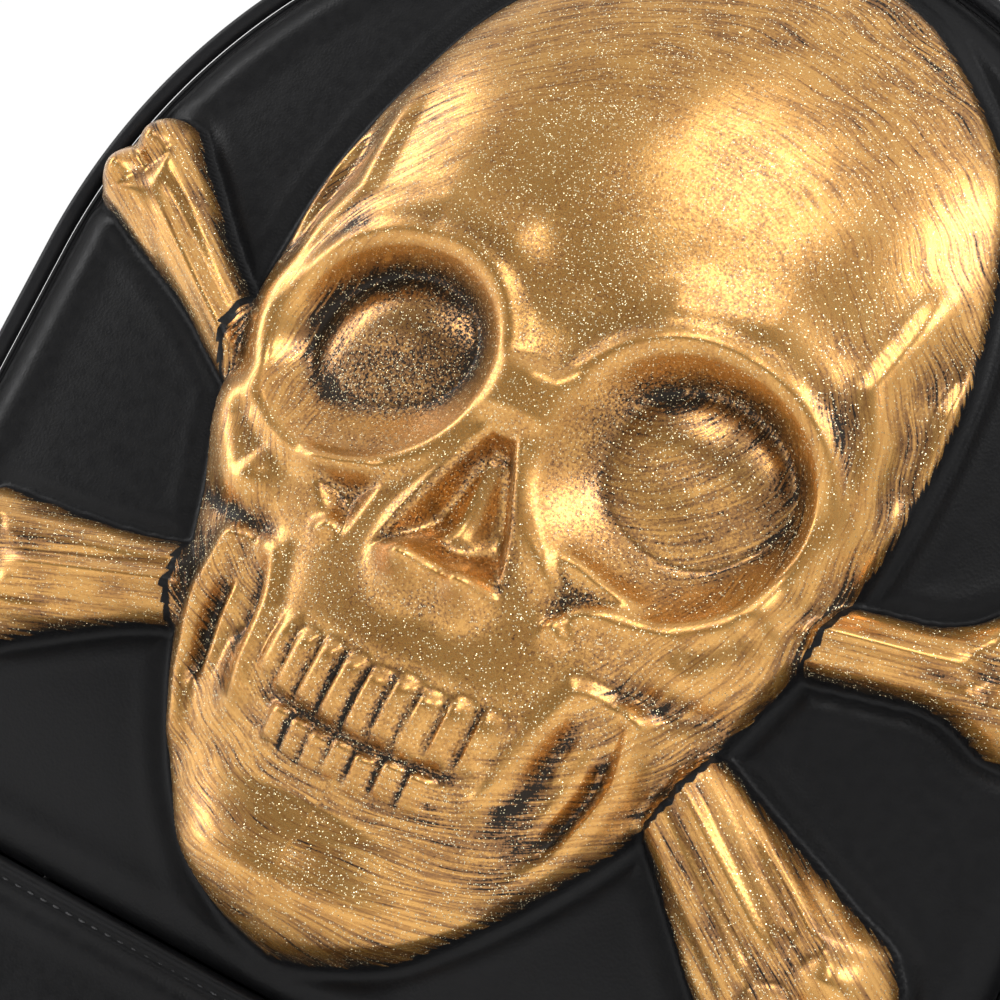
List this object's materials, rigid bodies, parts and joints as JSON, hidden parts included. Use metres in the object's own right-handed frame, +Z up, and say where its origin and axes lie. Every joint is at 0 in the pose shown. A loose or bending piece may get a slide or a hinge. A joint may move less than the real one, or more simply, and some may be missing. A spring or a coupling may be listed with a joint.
{
  "type": "moulded backpack",
  "caption": "Black synthetic-leather backpack whose zipped front panel carries a moulded gold skull and crossed bones, with padded straps, a carry handle and side pockets.",
  "frame": {"origin": "centre of the flat base panel's underside", "axes": "+Z up, -Y out of the front with the skull, +X to the right as seen from the front, +Y out of the back with the straps"},
  "size_m": [0.334, 0.2281, 0.4629],
  "materials": {
    "grain_leather": "fine-grain black synthetic leather, low sheen",
    "smooth_leather": "smooth black synthetic leather",
    "gold_paint": "brushed gold paint with fine glitter over black",
    "zip": "black coil zip on woven tape",
    "lining": "plain woven lining",
    "hardware": "dark satin metal",
    "pad_mesh": "black spacer mesh",
    "webbing": "ribbed black webbing",
    "buckle": "black moulded plastic"
  },
  "bodies": {
    "body": {"side_wall": "smooth_leather", "body_zip": "zip", "front_band": "grain_leather", "band_piping": "smooth_leather", "rear_piping": "smooth_leather", "back_panel": "grain_leather", "base_panel": "grain_leather", "base_board": "lining", "back_pad_left": "pad_mesh", "back_pad_right": "pad_mesh", "back_pad_lower": "pad_mesh", "strap_yoke": "smooth_leather", "shoulder_strap_left": "grain_leather", "shoulder_strap_right": "grain_leather", "strap_webbing_left": "webbing", "strap_webbing_right": "webbing", "ladder_lock_left": "buckle", "ladder_lock_right": "buckle", "strap_anchor_left": "smooth_leather", "strap_anchor_right": "smooth_leather", "handle_lug_left": "hardware", "handle_lug_right": "hardware", "hang_loop": "webbing", "side_pocket_left": "grain_leather", "side_pocket_right": "grain_leather", "pocket_hem_left": "webbing", "pocket_hem_right": "webbing", "laptop_sleeve": "lining", "slip_pocket": "lining"},
    "door": {"door_skin": "grain_leather", "door_backing": "lining", "door_rim": "smooth_leather", "door_zip": "zip", "door_piping": "smooth_leather", "skull_relief": "gold_paint", "bone_upper_left": "gold_paint", "bone_upper_right": "gold_paint", "bone_lower_left": "gold_paint", "bone_lower_right": "gold_paint"},
    "slider_left": {"zip_slider_left": "hardware"},
    "slider_right": {"zip_slider_right": "hardware"},
    "pull_left": {"zip_pull_left": "hardware"},
    "pull_right": {"zip_pull_right": "hardware"},
    "handle": {"carry_handle": "grain_leather"},
    "tab": {"sleeve_tab": "webbing"}
  },
  "joints": [
    {"name": "front_door", "type": "hinge", "parent": "body", "child": "door", "pos_m": [0, -0.075, 0.141], "axis": [1, 0, 0], "range_deg": [0, 90]},
    {"name": "zip_left", "type": "hinge", "parent": "body", "child": "slider_left", "pos_m": [0, -0.053, 0.28], "axis": [0, -1, 0], "range_deg": [0, 86]},
    {"name": "zip_right", "type": "hinge", "parent": "body", "child": "slider_right", "pos_m": [0, -0.053, 0.28], "axis": [0, 1, 0], "range_deg": [0, 86]},
    {"name": "pull_left_swing", "type": "hinge", "parent": "slider_left", "child": "pull_left", "pos_m": [-0.00619, -0.053, 0.42777], "axis": [0, 1, 0], "range_deg": [0, 110]},
    {"name": "pull_right_swing", "type": "hinge", "parent": "slider_right", "child": "pull_right", "pos_m": [0.00619, -0.053, 0.42777], "axis": [0, -1, 0], "range_deg": [0, 110]},
    {"name": "handle_swing", "type": "hinge", "parent": "body", "child": "handle", "pos_m": [0, 0.052, 0.432], "axis": [1, 0, 0], "range_deg": [-70, 70]},
    {"name": "sleeve_tab_lift", "type": "hinge", "parent": "body", "child": "tab", "pos_m": [0, 0.0721, 0.3052], "axis": [-1, 0, 0], "range_deg": [0, 80]}
  ]
}
